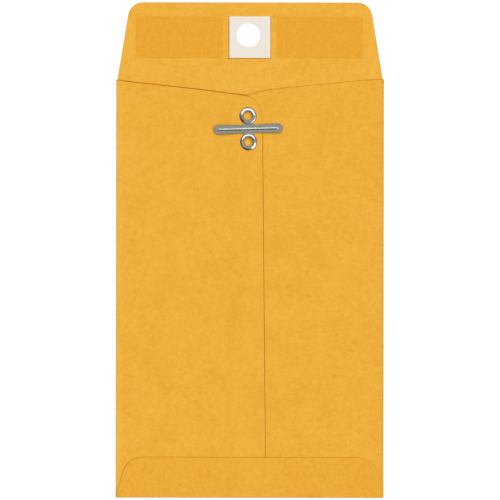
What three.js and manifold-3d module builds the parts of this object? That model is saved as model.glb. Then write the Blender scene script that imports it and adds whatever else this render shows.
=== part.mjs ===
// Clasp envelope of kraft paper, lying empty on its address side with the closure flap open.
// Millimetres. +X to the right, +Y from the bottom fold to the closure flap, +Z up off the table.
// The seam side faces up, and the origin is at the middle of the underside of the opened envelope.

import * as THREE from "three";
import { mergeVertices } from "three/addons/utils/BufferGeometryUtils.js";
import Module from "manifold-3d";

const wasm = await Module();
wasm.setup();

// Paper and films
const PAPER = 0.15;
const GLUE_FILM = 0.04;
const GUM_FILM = 0.04;
const PATCH_PAPER = 0.12;

// Pocket, laid flat
const BODY_WIDTH = 103.5;
const BODY_LENGTH = 161.9;
const POCKET_GAP = 0.3;

// Centre seam. Laps are half overlaps, from the middle of the seam to each panel's free edge
const SEAM_CENTRE_X = -0.4;
const LAP_AT_MOUTH = 5.1;
const LAP_AT_BOTTOM = 6.74;
const SEAM_GLUE_INSET = 1.2;
const PANEL_RAMP = 2;
const RAMP_CLEARANCE = 0.4;

// Throat: how far each side panel's mouth edge has dropped below the shoulder line. A knee is
// where that edge turns down more steeply, and an ease is the length of its curve into the seam
const LEFT_SHOULDER_DROP = 0.4;
const LEFT_KNEE_FROM_EDGE = 23.8;
const LEFT_KNEE_DROP = 3.93;
const LEFT_SEAM_DROP = 7.08;
const LEFT_EASE_ALONG_MOUTH = 7.4;
const LEFT_EASE_ALONG_SEAM = 12;
const RIGHT_SHOULDER_DROP = 0;
const RIGHT_KNEE_FROM_SIDE = 8.1;
const RIGHT_KNEE_DROP = 0.38;
const RIGHT_SEAM_DROP = 5.12;
const RIGHT_EASE_ALONG_MOUTH = 23.2;
const RIGHT_EASE_ALONG_SEAM = 4.55;
const KNEE_RADIUS = 60;

// Bottom flap. A foot is the length of its side that runs along the body's edge
const BOTTOM_FLAP_HEIGHT = 15.75;
const FOLD_STRAIGHT = 0.3;
const LEFT_FOOT = 0.2;
const LEFT_SLANT_DEG = 16.3;
const LEFT_CORNER_RADIUS = 8.1;
const RIGHT_FOOT = 3.6;
const RIGHT_SLANT_DEG = 17;
const RIGHT_CORNER_RADIUS = 9.9;
const BOTTOM_GLUE_INSET = 2.2;

// Closure flap. Its score lies a little below the shoulders, where the pocket's full width ends
const FLAP_DEPTH = 29.67;
const SHOULDER_STEP = 0.4;
const FLAP_SLANT_DEG = 9.5;
const FLAP_CORNER_RADIUS = 5.8;
const SCORE_SLOT = 0.3;
const SCORE_SETBACK = 0.4;

// Hole of the flap. Its offset is that of the closed flap's hole from the clasp's middle
const HOLE_DIAMETER = 9.05;
const HOLE_OFFSET_X = 0.2;
const HOLE_OFFSET_Y = 1.37;

// Reinforcement patch, shifted from the hole, and the gum bands in line with it
const PATCH_WIDTH = 15.82;
const PATCH_HEIGHT = 16.04;
const PATCH_SHIFT_X = 0.32;
const PATCH_SHIFT_Y = -0.965;
const LEFT_GUM_GAP = 2.5;
const RIGHT_GUM_GAP = 2.47;
const LEFT_GUM_SETBACK = 7.1;
const RIGHT_GUM_SETBACK = 7.7;

// Clasp, stamped from tin-plated steel strip
const METAL = 0.3;
const EDGE_ROUND = 0.08;
const CLASP_OFFSET_X = -0.3;
const CLASP_DROP = 19.3;
const CLASP_TURN_DEG = 1.65;
const BAR_LENGTH = 26.8;
const BAR_WIDTH = 3.8;
const PRONG_ROOT_WIDTH = 3.3;
const BEND_X = 2.5;
const BEND_GAP = 0.1;
const RIB_LENGTH = 23.2;
const RIB_WIDTH = 1.1;
const RIB_HEIGHT = 0.3;
const RIB_GROOVE_WIDTH = 0.6;
const ROOT_RIB_WIDTH = 1;
const RIB_END_CLEARANCE = 0.4;
const NECK_WIDTH = 4;
const NECK_FILLET = 0.45;
const EYELET_PITCH = 10.1;
const BEAD_DIAMETER = 6.65;
const BEAD_HEIGHT = 0.58;
const EYELET_BORE = 3.45;
const BARREL_WALL = 0.28;
const CLINCH_DIAMETER = 6.2;
const CLINCH_THICKNESS = 0.25;
const PUNCH_CLEARANCE = 0.15;

// Fineness of the round stretches
const ARC_STEPS = 8;
const ROUND_STEPS = 40;
const FOLD_STEPS = 8;
const BEAD_STEPS = 7;
const BEVEL_STEPS = 2;
const RIB_END_STEPS = 4;
const RIB_ROUND_STEPS = 16;

// Corners of a mesh closer together than this are one corner
const SAME_POINT = 1e-5;

// Layers, from the table up
const panelUnder = PAPER + POCKET_GAP;
const panelTop = panelUnder + PAPER;
const seamRise = GLUE_FILM + PAPER;
const seamTop = panelTop + seamRise;
const bottomFlapUnder = panelTop + GLUE_FILM;
const claspTop = seamTop + Math.max(BEAD_HEIGHT, METAL + RIB_HEIGHT);

// Folds
const sideFoldRadius = panelTop / 2;
const bottomFoldRadius = (bottomFlapUnder + PAPER) / 2;
const bottomFoldReach = bottomFoldRadius + seamRise / 2 + FOLD_STRAIGHT;

// Plan
const halfWidth = BODY_WIDTH / 2;
const bottomY = -(BODY_LENGTH + FLAP_DEPTH) / 2;
const shoulderY = bottomY + BODY_LENGTH;
const hingeY = shoulderY - SCORE_SETBACK;
const hingeZ = (claspTop + PATCH_PAPER + PAPER) / 2;
const panelBottomY = bottomY + bottomFoldReach;
const creaseTopY = hingeY - SCORE_SLOT / 2;
const flapRootY = hingeY + SCORE_SLOT / 2;
const claspX = SEAM_CENTRE_X + CLASP_OFFSET_X;
const claspY = shoulderY - CLASP_DROP;
const claspTurn = THREE.MathUtils.degToRad(CLASP_TURN_DEG);

// Closure flap in plan, open. Folding it over the hinge line brings its hole to the clasp
const flapRootHalf = halfWidth - SHOULDER_STEP;
const flapTipHalf = flapRootHalf - FLAP_DEPTH * Math.tan(THREE.MathUtils.degToRad(FLAP_SLANT_DEG));
const flapTipY = shoulderY + FLAP_DEPTH;
const holeX = claspX + HOLE_OFFSET_X;
const holeY = 2 * hingeY - claspY - HOLE_OFFSET_Y;
const patchLeftX = holeX + PATCH_SHIFT_X - PATCH_WIDTH / 2;
const patchRightX = patchLeftX + PATCH_WIDTH;
const patchBottomY = holeY + PATCH_SHIFT_Y - PATCH_HEIGHT / 2;
const patchTopY = patchBottomY + PATCH_HEIGHT;

// The free edges of the side panels slant, because the seam gets wider towards the bottom
const seamLap = (y) =>
  LAP_AT_BOTTOM + ((LAP_AT_MOUTH - LAP_AT_BOTTOM) * (y - bottomY)) / BODY_LENGTH;
const leftPanelEdge = (y) => SEAM_CENTRE_X + seamLap(y);
const rightPanelEdge = (y) => SEAM_CENTRE_X - seamLap(y);

// Where the upper layers climb over the hidden panel edge and step down past the seam
const climbEnd = rightPanelEdge(bottomY) - RAMP_CLEARANCE;
const climbStart = climbEnd - PANEL_RAMP;
const descentStart = leftPanelEdge(bottomY) + RAMP_CLEARANCE;
const descentEnd = descentStart + PANEL_RAMP;

// A three.js geometry as a solid for joining and cutting.
function solid(geometry) {
  const bare = geometry.clone();
  bare.deleteAttribute("normal");
  bare.deleteAttribute("uv");
  const merged = mergeVertices(bare, SAME_POINT);
  return new wasm.Manifold(
    new wasm.Mesh({
      numProp: 3,
      vertProperties: merged.attributes.position.array,
      triVerts: new Uint32Array(merged.index.array),
    }),
  );
}

// A joined or cut solid as a three.js geometry with sharp edges.
function geometryOf(body) {
  const made = body.getMesh();
  const geometry = new THREE.BufferGeometry();
  geometry.setAttribute("position", new THREE.BufferAttribute(made.vertProperties, 3));
  geometry.setIndex(new THREE.BufferAttribute(made.triVerts, 1));
  const faceted = geometry.toNonIndexed();
  faceted.computeVertexNormals();
  return faceted;
}

// A named piece in its own material.
function piece(name, body, material) {
  const mesh = new THREE.Mesh(geometryOf(body), material);
  mesh.name = name;
  return mesh;
}

// Rounds one corner of an outline off with an arc that touches both of its edges.
function addRoundCorner(shape, corner, back, ahead) {
  const halfAngle = back.angleTo(ahead) / 2;
  const reach = corner.radius / Math.tan(halfAngle);
  const bisector = back.clone().add(ahead).normalize();
  const centre = bisector.multiplyScalar(corner.radius / Math.sin(halfAngle));
  const from = back.clone().multiplyScalar(reach).sub(centre);
  const to = ahead.clone().multiplyScalar(reach).sub(centre);
  const clockwise = from.cross(to) < 0;
  centre.add(corner);
  shape.absarc(centre.x, centre.y, corner.radius, from.angle(), to.angle(), clockwise);
}

// A closed outline through corners, the first of them sharp. The others are sharp, round with
// a radius, or eased over a distance along each of their two edges.
function outline(corners) {
  const shape = new THREE.Shape();
  shape.moveTo(corners[0].x, corners[0].y);
  corners.slice(1).forEach((corner, i) => {
    const after = corners[(i + 2) % corners.length];
    const back = new THREE.Vector2().subVectors(corners[i], corner).normalize();
    const ahead = new THREE.Vector2().subVectors(after, corner).normalize();
    if (corner.radius) {
      addRoundCorner(shape, corner, back, ahead);
    } else if (corner.easeIn) {
      const start = back.multiplyScalar(corner.easeIn).add(corner);
      const end = ahead.multiplyScalar(corner.easeOut).add(corner);
      shape.lineTo(start.x, start.y);
      shape.quadraticCurveTo(corner.x, corner.y, end.x, end.y);
    } else {
      shape.lineTo(corner.x, corner.y);
    }
  });
  return shape;
}

// A flat plate cut to an outline.
function plate(shape, bottom, thickness) {
  const geometry = new THREE.ExtrudeGeometry(shape, {
    depth: thickness,
    bevelEnabled: false,
    curveSegments: ARC_STEPS,
  });
  return solid(geometry.translate(0, 0, bottom));
}

// A section in x and z, drawn out along y.
function drawnAlongY(section, fromY, toY) {
  const geometry = new THREE.ExtrudeGeometry(section, {
    depth: toY - fromY,
    bevelEnabled: false,
    curveSegments: FOLD_STEPS,
  });
  return solid(geometry.rotateX(Math.PI / 2).translate(0, toY, 0));
}

// A layer that follows the climb over the seam, as a section in x and z.
function drapedSection(fromX, toX, under, thickness) {
  const bends = [
    [climbStart, 0],
    [climbEnd, seamRise],
    [descentStart, seamRise],
    [descentEnd, 0],
  ].filter(([x]) => x > fromX && x < toX);
  const route = [[fromX, riseAt(fromX)], ...bends, [toX, riseAt(toX)]];
  const below = route.map(([x, rise]) => new THREE.Vector2(x, under + rise));
  const above = route.map(([x, rise]) => new THREE.Vector2(x, under + rise + thickness));
  return new THREE.Shape([...below, ...above.reverse()]);
}

// How much higher a layer over both side panels lies at x, because of the seam.
function riseAt(x) {
  const climb = THREE.MathUtils.clamp((x - climbStart) / PANEL_RAMP, 0, 1);
  const descent = THREE.MathUtils.clamp((x - descentStart) / PANEL_RAMP, 0, 1);
  return seamRise * (climb - descent);
}

// The ring of points of a folded-over strip, in y and z, at one station along the bottom fold.
function bottomFoldRing(rise) {
  const radius = bottomFoldRadius + rise / 2;
  const centreY = bottomY + radius;
  const angles = Array.from({ length: FOLD_STEPS + 1 }, (_, i) => Math.PI * (0.5 + i / FOLD_STEPS));
  const arc = (r) => angles.map((a) => [centreY + r * Math.cos(a), radius + r * Math.sin(a)]);
  const outer = [[panelBottomY, 2 * radius], ...arc(radius), [panelBottomY, 0]];
  const inner = [[panelBottomY, 2 * radius - PAPER], ...arc(radius - PAPER), [panelBottomY, PAPER]];
  return [...outer, ...inner.reverse()];
}

// A skin through equal rings of points, each at its station along x, closed at both ends.
function loftAlongX(stations, rings) {
  const positions = rings.flatMap((ring, i) => ring.flatMap(([y, z]) => [stations[i], y, z]));
  const count = rings[0].length;
  const index = [];
  for (let i = 0; i + 1 < rings.length; i += 1) {
    for (let j = 0; j < count; j += 1) {
      const a = i * count + j;
      const b = i * count + ((j + 1) % count);
      index.push(a, b, b + count, a, b + count, a + count);
    }
  }
  const section = rings[0].map(([y, z]) => new THREE.Vector2(y, z));
  const cap = THREE.ShapeUtils.triangulateShape(section, []);
  const last = (rings.length - 1) * count;
  cap.forEach(([a, b, c]) => index.push(a, c, b, last + a, last + b, last + c));
  const geometry = new THREE.BufferGeometry();
  geometry.setAttribute("position", new THREE.Float32BufferAttribute(positions, 3));
  geometry.setIndex(index);
  return solid(geometry);
}

// A round bar through a layer, for punching it.
function punch(x, y, diameter, bottom, top) {
  const overrun = PAPER;
  const height = top - bottom + 2 * overrun;
  const geometry = new THREE.CylinderGeometry(diameter / 2, diameter / 2, height, ROUND_STEPS);
  return solid(geometry.rotateX(Math.PI / 2).translate(x, y, (top + bottom) / 2));
}

// Cuts the two holes for the clasp's barrels through a layer of the seam.
function punchedForClasp(layer) {
  const diameter = EYELET_BORE + 2 * (BARREL_WALL + PUNCH_CLEARANCE);
  return [-1, 1].reduce((cut, side) => {
    const along = (side * EYELET_PITCH) / 2;
    const x = claspX - along * Math.sin(claspTurn);
    const y = claspY + along * Math.cos(claspTurn);
    return cut.subtract(punch(x, y, diameter, panelUnder, seamTop));
  }, layer);
}

// The front panel, a plain rectangle between its three creases and the score of the flap.
function frontPanel() {
  const edge = halfWidth - sideFoldRadius;
  const shape = outline([
    { x: -edge, y: panelBottomY },
    { x: edge, y: panelBottomY },
    { x: edge, y: creaseTopY },
    { x: -edge, y: creaseTopY },
  ]);
  return plate(shape, 0, PAPER);
}

// A side panel's outline, from its side round its mouth edge to its free edge.
function sidePanelOutline(sideX, freeEdge, mouth) {
  const seamY = shoulderY - mouth.seamDrop;
  const { easeIn, easeOut } = mouth;
  return outline([
    { x: sideX, y: panelBottomY },
    { x: sideX, y: shoulderY - mouth.shoulderDrop },
    { x: mouth.kneeX, y: shoulderY - mouth.kneeDrop, radius: KNEE_RADIUS },
    { x: freeEdge(seamY), y: seamY, easeIn, easeOut },
    { x: freeEdge(panelBottomY), y: panelBottomY },
  ]);
}

// The left panel lies on top at the seam, so it climbs over the hidden edge of the right one.
function leftSidePanel() {
  const shape = sidePanelOutline(-halfWidth, leftPanelEdge, {
    shoulderDrop: LEFT_SHOULDER_DROP,
    kneeX: leftPanelEdge(shoulderY - LEFT_SEAM_DROP) - LEFT_KNEE_FROM_EDGE,
    kneeDrop: LEFT_KNEE_DROP,
    seamDrop: LEFT_SEAM_DROP,
    easeIn: LEFT_EASE_ALONG_MOUTH,
    easeOut: LEFT_EASE_ALONG_SEAM,
  });
  const section = drapedSection(sideFoldRadius - halfWidth, descentStart, panelUnder, PAPER);
  const layer = drawnAlongY(section, panelBottomY, shoulderY);
  return punchedForClasp(layer.intersect(plate(shape, 0, seamTop + PAPER)));
}

// The right panel lies flat, under the left one.
function rightSidePanel() {
  const shape = sidePanelOutline(halfWidth, rightPanelEdge, {
    shoulderDrop: RIGHT_SHOULDER_DROP,
    kneeX: halfWidth - RIGHT_KNEE_FROM_SIDE,
    kneeDrop: RIGHT_KNEE_DROP,
    seamDrop: RIGHT_SEAM_DROP,
    easeIn: RIGHT_EASE_ALONG_MOUTH,
    easeOut: RIGHT_EASE_ALONG_SEAM,
  });
  const section = new THREE.Shape([
    new THREE.Vector2(climbEnd, panelUnder),
    new THREE.Vector2(halfWidth - sideFoldRadius, panelUnder),
    new THREE.Vector2(halfWidth - sideFoldRadius, panelTop),
    new THREE.Vector2(climbEnd, panelTop),
  ]);
  const layer = drawnAlongY(section, panelBottomY, shoulderY);
  return punchedForClasp(layer.intersect(plate(shape, 0, seamTop)));
}

// A side crease, a half round of paper between the front panel and a side panel.
function sideCrease(side) {
  const section = new THREE.Shape();
  const centreX = side * (halfWidth - sideFoldRadius);
  const top = Math.PI / 2;
  section.absarc(centreX, sideFoldRadius, sideFoldRadius, top, -top, side > 0);
  section.absarc(centreX, sideFoldRadius, sideFoldRadius - PAPER, -top, top, side < 0);
  return drawnAlongY(section, panelBottomY, creaseTopY);
}

// The adhesive strip between the side panels, inside their overlap.
function centreSeamGlue() {
  const topY = shoulderY - LEFT_SEAM_DROP - LEFT_EASE_ALONG_SEAM;
  const shape = outline([
    { x: rightPanelEdge(panelBottomY) + SEAM_GLUE_INSET, y: panelBottomY },
    { x: leftPanelEdge(panelBottomY) - SEAM_GLUE_INSET, y: panelBottomY },
    { x: leftPanelEdge(topY) - SEAM_GLUE_INSET, y: topY },
    { x: rightPanelEdge(topY) + SEAM_GLUE_INSET, y: topY },
  ]);
  return punchedForClasp(plate(shape, panelTop, GLUE_FILM));
}

// The bottom flap's outline, drawn in by an inset on its free sides.
function bottomFlapOutline(inset) {
  const topY = bottomY + BOTTOM_FLAP_HEIGHT - inset;
  const edge = halfWidth - inset;
  const drawnIn = (foot, slantDeg) =>
    (topY - panelBottomY - foot) * Math.tan(THREE.MathUtils.degToRad(slantDeg));
  const leftTopX = drawnIn(LEFT_FOOT, LEFT_SLANT_DEG) - edge;
  const rightTopX = edge - drawnIn(RIGHT_FOOT, RIGHT_SLANT_DEG);
  return outline([
    { x: -edge, y: panelBottomY },
    { x: edge, y: panelBottomY },
    { x: edge, y: panelBottomY + RIGHT_FOOT },
    { x: rightTopX, y: topY, radius: RIGHT_CORNER_RADIUS },
    { x: leftTopX, y: topY, radius: LEFT_CORNER_RADIUS },
    { x: -edge, y: panelBottomY + LEFT_FOOT },
  ]);
}

// A layer in the bottom flap's outline that follows the climb over the seam.
function bottomFlapLayer(under, thickness, inset) {
  const section = drapedSection(-halfWidth, halfWidth, under, thickness);
  const layer = drawnAlongY(section, panelBottomY, bottomY + BOTTOM_FLAP_HEIGHT);
  return layer.intersect(plate(bottomFlapOutline(inset), 0, seamTop + bottomFlapUnder));
}

// The crease under the bottom flap, higher where the seam lifts the flap.
function bottomCrease() {
  const stations = [-halfWidth, climbStart, climbEnd, descentStart, descentEnd, halfWidth];
  return loftAlongX(stations, stations.map((x) => bottomFoldRing(riseAt(x))));
}

// The closure flap, open, with its punched hole.
function closureFlap() {
  const shape = outline([
    { x: -flapRootHalf, y: flapRootY },
    { x: flapRootHalf, y: flapRootY },
    { x: flapTipHalf, y: flapTipY, radius: FLAP_CORNER_RADIUS },
    { x: -flapTipHalf, y: flapTipY, radius: FLAP_CORNER_RADIUS },
  ]);
  return plate(shape, 0, PAPER).subtract(punch(holeX, holeY, HOLE_DIAMETER, 0, PAPER));
}

// A rectangle on the flap's inner face, as high as the patch, from one x to another.
function flapRectangle(fromX, toX, thickness) {
  const shape = outline([
    { x: fromX, y: patchBottomY },
    { x: toX, y: patchBottomY },
    { x: toX, y: patchTopY },
    { x: fromX, y: patchTopY },
  ]);
  return plate(shape, PAPER, thickness);
}

// A band of dry gum from the flap's side to the patch.
function gumBand(side) {
  if (side < 0) {
    return flapRectangle(LEFT_GUM_SETBACK - flapRootHalf, patchLeftX - LEFT_GUM_GAP, GUM_FILM);
  }
  return flapRectangle(patchRightX + RIGHT_GUM_GAP, flapRootHalf - RIGHT_GUM_SETBACK, GUM_FILM);
}

// The square patch that keeps the hole from tearing.
function holePatch() {
  const hole = punch(holeX, holeY, HOLE_DIAMETER, PAPER, PAPER + PATCH_PAPER);
  return flapRectangle(patchLeftX, patchRightX, PATCH_PAPER).subtract(hole);
}

// A flat stamping with softly rounded edges, cut to an outline.
function stamping(shape) {
  const geometry = new THREE.ExtrudeGeometry(shape, {
    depth: METAL - 2 * EDGE_ROUND,
    bevelThickness: EDGE_ROUND,
    bevelSize: EDGE_ROUND,
    bevelOffset: -EDGE_ROUND,
    bevelSegments: BEVEL_STEPS,
    curveSegments: ARC_STEPS,
  });
  return solid(geometry.translate(0, 0, EDGE_ROUND));
}

// An embossed rib: a rounded ridge along x, half sunk in the metal, with a given centre height.
function ridge(fromX, toX, width, height, centreZ) {
  const radius = width / 2;
  const straight = toX - fromX - width;
  const geometry = new THREE.CapsuleGeometry(radius, straight, RIB_END_STEPS, RIB_ROUND_STEPS);
  geometry.rotateZ(Math.PI / 2).scale(1, 1, height / radius);
  return solid(geometry.translate((fromX + toX) / 2, 0, centreZ));
}

// A prong lying flat along +x from its bend line: a round-ended blade, narrower at its root,
// with a rib pressed up in it.
function prong() {
  const tipX = BAR_LENGTH / 2;
  const halfBar = BAR_WIDTH / 2;
  const halfRoot = PRONG_ROOT_WIDTH / 2;
  const shape = new THREE.Shape();
  shape.moveTo(BEND_X + BEND_GAP, -halfRoot);
  shape.absarc(tipX - halfBar, 0, halfBar, -Math.PI / 2, Math.PI / 2, false);
  shape.lineTo(BEND_X + BEND_GAP, halfRoot);
  const ribStart = BEND_X + RIB_END_CLEARANCE;
  const rib = ridge(ribStart, RIB_LENGTH / 2, RIB_WIDTH, RIB_HEIGHT, METAL);
  const hollow = (RIB_WIDTH - RIB_GROOVE_WIDTH) / 2;
  const groove = ridge(ribStart + hollow, RIB_LENGTH / 2 - hollow, RIB_GROOVE_WIDTH, RIB_HEIGHT, 0);
  return stamping(shape).add(rib).subtract(groove);
}

// One drawn eyelet: a rounded bead on the paper, a barrel through it and a clinched rim below.
function eyelet() {
  const bore = EYELET_BORE / 2;
  const bead = BEAD_DIAMETER / 2;
  const stack = seamTop - panelUnder;
  const beadMiddle = (bore + bead) / 2;
  const beadHalf = (bead - bore) / 2;
  const profile = [];
  for (let i = 0; i <= BEAD_STEPS; i += 1) {
    const angle = (Math.PI * i) / BEAD_STEPS;
    profile.push(
      new THREE.Vector2(beadMiddle + beadHalf * Math.cos(angle), BEAD_HEIGHT * Math.sin(angle)),
    );
  }
  profile.push(
    new THREE.Vector2(bore, -stack - CLINCH_THICKNESS),
    new THREE.Vector2(CLINCH_DIAMETER / 2, -stack - CLINCH_THICKNESS),
    new THREE.Vector2(CLINCH_DIAMETER / 2, -stack),
    new THREE.Vector2(bore + BARREL_WALL, -stack),
    new THREE.Vector2(bore + BARREL_WALL, 0),
  );
  profile.push(profile[0].clone());
  return new THREE.LatheGeometry(profile, ROUND_STEPS).rotateX(Math.PI / 2);
}

// The strap of the clasp between its eyelets, wider where the prongs leave it.
function strapOutline() {
  const neck = NECK_WIDTH / 2;
  const arm = PRONG_ROOT_WIDTH / 2;
  const end = EYELET_PITCH / 2;
  const widening = { radius: NECK_FILLET };
  return outline([
    { x: -neck, y: -end },
    { x: neck, y: -end },
    { x: neck, y: -arm, ...widening },
    { x: BEND_X, y: -arm },
    { x: BEND_X, y: arm },
    { x: neck, y: arm, ...widening },
    { x: neck, y: end },
    { x: -neck, y: end },
    { x: -neck, y: arm, ...widening },
    { x: -BEND_X, y: arm },
    { x: -BEND_X, y: -arm },
    { x: -neck, y: -arm, ...widening },
  ]);
}

// The clasp's base, lying flat round its own centre.
function claspBase() {
  const reach = BEND_X - RIB_END_CLEARANCE;
  const rib = ridge(-reach, reach, ROOT_RIB_WIDTH, RIB_HEIGHT, METAL);
  const bar = stamping(strapOutline()).add(rib);
  return [-1, 1].reduce((base, side) => {
    const y = (side * EYELET_PITCH) / 2;
    const bore = punch(0, y, EYELET_BORE + BARREL_WALL, 0, METAL);
    return base.subtract(bore).add(solid(eyelet().translate(0, y, 0)));
  }, bar);
}

const kraft = new THREE.MeshStandardMaterial({ color: 0xeeb03f, roughness: 0.85, metalness: 0 });
const gum = new THREE.MeshStandardMaterial({ color: 0xeba733, roughness: 0.45, metalness: 0 });
const adhesive = new THREE.MeshStandardMaterial({ color: 0xe8d9ae, roughness: 0.5, metalness: 0 });
const patchPaper = new THREE.MeshStandardMaterial({ color: 0xefe6db, roughness: 0.7, metalness: 0 });
const tinplate = new THREE.MeshStandardMaterial({ color: 0x9aa09c, roughness: 0.3, metalness: 1 });

// The body of the envelope: every panel that stays where the front panel is.
const body = new THREE.Group();
body.add(
  piece("front_panel", frontPanel(), kraft),
  piece("left_side_panel", leftSidePanel(), kraft),
  piece("right_side_panel", rightSidePanel(), kraft),
  piece("left_side_crease", sideCrease(-1), kraft),
  piece("right_side_crease", sideCrease(1), kraft),
  piece("centre_seam_glue", centreSeamGlue(), adhesive),
  piece("bottom_flap", bottomFlapLayer(bottomFlapUnder, PAPER, 0), kraft),
  piece("bottom_crease", bottomCrease(), kraft),
  piece("bottom_flap_glue", bottomFlapLayer(panelTop, GLUE_FILM, BOTTOM_GLUE_INSET), adhesive),
);

// Pieces that turn together: a group whose own x axis is their hinge line at a place in plan
// and height. The pieces inside keep their places in the frame that they were drawn in.
function turningGroup(y, z, ...pieces) {
  const pivot = new THREE.Group();
  const inside = new THREE.Group();
  pivot.position.set(0, y, z);
  inside.position.set(0, -y, -z);
  inside.add(...pieces);
  pivot.add(inside);
  return pivot;
}

// The closure flap turns about its score. The line lies half way up the stack that the closed
// flap wraps, so that the flap comes to lie on the clasp.
const flap = turningGroup(
  hingeY,
  hingeZ,
  piece("closure_flap", closureFlap(), kraft),
  piece("flap_gum_left", gumBand(-1), gum),
  piece("flap_gum_right", gumBand(1), gum),
  piece("flap_hole_patch", holePatch(), patchPaper),
);

// The clasp sits slightly turned on the seam. Each prong bends at BEND_X, in its upper face.
const clasp = new THREE.Group();
clasp.position.set(claspX, claspY, seamTop);
clasp.rotation.z = claspTurn;
const leftProng = piece("left_prong", prong(), tinplate);
leftProng.rotation.z = Math.PI;
clasp.add(
  piece("clasp_base", claspBase(), tinplate),
  piece("right_prong", prong(), tinplate),
  leftProng,
);

const envelope = new THREE.Group();
envelope.add(body, flap, clasp);

export default envelope;
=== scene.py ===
import math

import bpy
import numpy as np
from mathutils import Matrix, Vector
from mathutils.geometry import delaunay_2d_cdt


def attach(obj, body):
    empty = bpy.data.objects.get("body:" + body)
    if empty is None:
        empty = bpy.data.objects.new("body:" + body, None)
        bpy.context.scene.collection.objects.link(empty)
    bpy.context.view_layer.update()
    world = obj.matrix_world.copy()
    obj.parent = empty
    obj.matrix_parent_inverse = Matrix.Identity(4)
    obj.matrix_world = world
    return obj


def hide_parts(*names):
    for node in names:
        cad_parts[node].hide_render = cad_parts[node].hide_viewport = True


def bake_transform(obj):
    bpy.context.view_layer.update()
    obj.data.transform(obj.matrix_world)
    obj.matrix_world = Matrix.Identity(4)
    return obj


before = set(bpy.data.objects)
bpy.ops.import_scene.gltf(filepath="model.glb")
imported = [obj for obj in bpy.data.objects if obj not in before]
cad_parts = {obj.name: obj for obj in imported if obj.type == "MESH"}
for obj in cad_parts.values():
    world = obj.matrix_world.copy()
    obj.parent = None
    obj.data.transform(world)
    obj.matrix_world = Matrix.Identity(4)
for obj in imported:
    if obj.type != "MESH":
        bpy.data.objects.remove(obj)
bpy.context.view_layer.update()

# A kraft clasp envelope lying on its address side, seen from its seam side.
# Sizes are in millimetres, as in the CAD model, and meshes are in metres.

MM = 0.001

# Paper, films and the pocket, as in the CAD model
PAPER = 0.15
GLUE_FILM = 0.04
GUM_FILM = 0.04
PATCH_PAPER = 0.12
BODY_WIDTH = 103.5
BODY_LENGTH = 161.9
POCKET_GAP = 0.3
SEAM_CENTRE_X = -0.4
LAP_AT_MOUTH = 5.1
LAP_AT_BOTTOM = 6.74
LEFT_SHOULDER_DROP = 0.4
LEFT_KNEE_FROM_EDGE = 23.8
LEFT_KNEE_DROP = 3.93
LEFT_SEAM_DROP = 7.08
LEFT_EASE_ALONG_MOUTH = 7.4
LEFT_EASE_ALONG_SEAM = 12
RIGHT_SHOULDER_DROP = 0
RIGHT_KNEE_FROM_SIDE = 8.1
RIGHT_KNEE_DROP = 0.38
RIGHT_SEAM_DROP = 5.12
RIGHT_EASE_ALONG_MOUTH = 23.2
RIGHT_EASE_ALONG_SEAM = 4.55
KNEE_RADIUS = 60
BOTTOM_FLAP_HEIGHT = 15.75
FOLD_STRAIGHT = 0.3
LEFT_FOOT = 0.2
LEFT_SLANT_DEG = 16.3
LEFT_CORNER_RADIUS = 8.1
RIGHT_FOOT = 3.6
RIGHT_SLANT_DEG = 17
RIGHT_CORNER_RADIUS = 9.9
FLAP_DEPTH = 29.67
SHOULDER_STEP = 0.4
FLAP_SLANT_DEG = 9.5
FLAP_CORNER_RADIUS = 5.8
SCORE_SLOT = 0.3
SCORE_SETBACK = 0.4
HOLE_DIAMETER = 9.05
HOLE_OFFSET_X = 0.2
HOLE_OFFSET_Y = 1.37
PATCH_WIDTH = 15.82
PATCH_HEIGHT = 16.04
PATCH_SHIFT_X = 0.32
PATCH_SHIFT_Y = -0.965
LEFT_GUM_GAP = 2.5
RIGHT_GUM_GAP = 2.47
LEFT_GUM_SETBACK = 7.1
RIGHT_GUM_SETBACK = 7.7

# Clasp, as in the CAD model
METAL = 0.3
CLASP_OFFSET_X = -0.3
CLASP_DROP = 19.3
CLASP_TURN_DEG = 1.65
BAR_LENGTH = 26.8
BAR_WIDTH = 3.8
PRONG_ROOT_WIDTH = 3.3
BEND_X = 2.5
RIB_LENGTH = 23.2
RIB_WIDTH = 1.1
RIB_HEIGHT = 0.3
NECK_WIDTH = 4
NECK_FILLET = 0.45
EYELET_PITCH = 10.1
BEAD_DIAMETER = 6.65
BEAD_HEIGHT = 0.58
EYELET_BORE = 3.45
BARREL_WALL = 0.28
CLINCH_DIAMETER = 6.2
CLINCH_THICKNESS = 0.25
PUNCH_CLEARANCE = 0.15

# Layers and places worked out from them
panel_top = 2 * PAPER + POCKET_GAP
panel_under = PAPER + POCKET_GAP
seam_rise = GLUE_FILM + PAPER
seam_top = panel_top + seam_rise
bottom_flap_top = panel_top + GLUE_FILM + PAPER
side_radius = panel_top / 2
bottom_radius = bottom_flap_top / 2
bottom_reach = bottom_radius + seam_rise / 2 + FOLD_STRAIGHT
half_width = BODY_WIDTH / 2
crease_x = half_width - side_radius
crease_middle = side_radius - PAPER / 2
crease_wrap = math.pi * crease_middle
bottom_y = -(BODY_LENGTH + FLAP_DEPTH) / 2
shoulder_y = bottom_y + BODY_LENGTH
hinge_y = shoulder_y - SCORE_SETBACK
panel_bottom_y = bottom_y + bottom_reach
crease_top_y = hinge_y - SCORE_SLOT / 2
flap_root_y = hinge_y + SCORE_SLOT / 2
flap_root_half = half_width - SHOULDER_STEP
flap_tip_half = flap_root_half - FLAP_DEPTH * math.tan(math.radians(FLAP_SLANT_DEG))
flap_tip_y = shoulder_y + FLAP_DEPTH
clasp_x = SEAM_CENTRE_X + CLASP_OFFSET_X
clasp_y = shoulder_y - CLASP_DROP
clasp_turn = math.radians(CLASP_TURN_DEG)
hole_x = clasp_x + HOLE_OFFSET_X
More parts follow.
